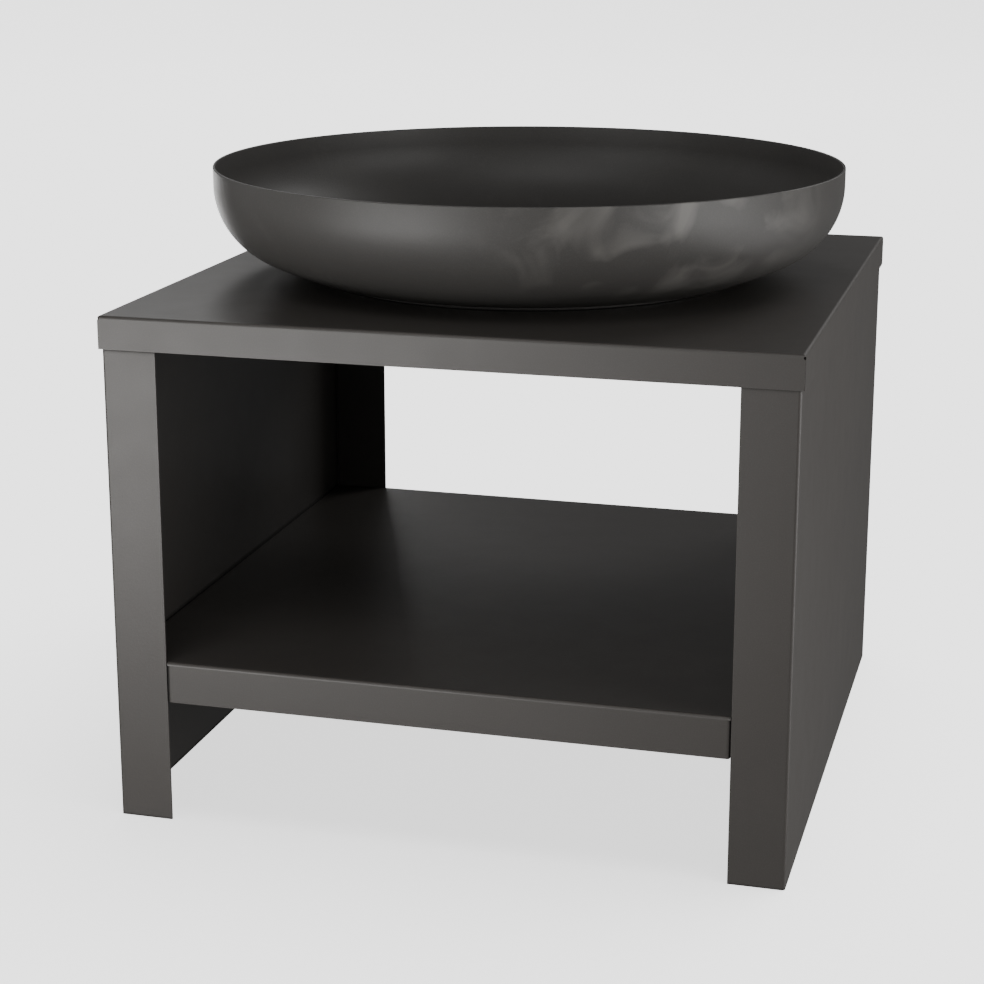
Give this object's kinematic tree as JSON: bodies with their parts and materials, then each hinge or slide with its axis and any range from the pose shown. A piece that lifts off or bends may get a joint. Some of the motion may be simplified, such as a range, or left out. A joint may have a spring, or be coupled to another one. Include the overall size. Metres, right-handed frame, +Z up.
{
  "type": "fire pit",
  "caption": "Round dished fire bowl standing loose on a square folded sheet-steel stand with an open log bay and shelf, with a loose round log grate low in the bowl.",
  "frame": {"origin": "on the floor, under the centre of the stand", "axes": "+Z up, -Y towards the front with the narrower legs, +X to the right seen from the front"},
  "size_m": [0.62, 0.62, 0.577],
  "materials": {
    "stand_steel": "fine matt powder coat, dark grey",
    "bowl_steel": "matt heat-proof coat, dark grey",
    "grate_steel": "matt black steel rod",
    "fastener_steel": "dull zinc plate"
  },
  "bodies": {
    "stand": {"top_plate": "stand_steel", "left_side_panel": "stand_steel", "right_side_panel": "stand_steel", "shelf": "stand_steel", "top_rail_front": "stand_steel", "top_rail_rear": "stand_steel", "shelf_rail": "stand_steel", "top_plate_studs": "fastener_steel", "top_plate_washers": "fastener_steel", "top_plate_nuts": "fastener_steel", "left_panel_studs": "fastener_steel", "right_panel_studs": "fastener_steel", "shelf_washers": "fastener_steel", "shelf_nuts": "fastener_steel"},
    "bowl": {"fire_bowl": "bowl_steel", "foot_ring": "bowl_steel"},
    "grate": {"grate_ring": "grate_steel", "grate_bars": "grate_steel", "grate_feet": "grate_steel"}
  },
  "joints": [
    {"name": "bowl_lift", "type": "slide", "parent": "stand", "child": "bowl", "axis": [0, 0, 1], "range_m": [0, 0.15]},
    {"name": "grate_lift", "type": "slide", "parent": "bowl", "child": "grate", "axis": [0, 0, 1], "range_m": [0, 0.15]}
  ]
}
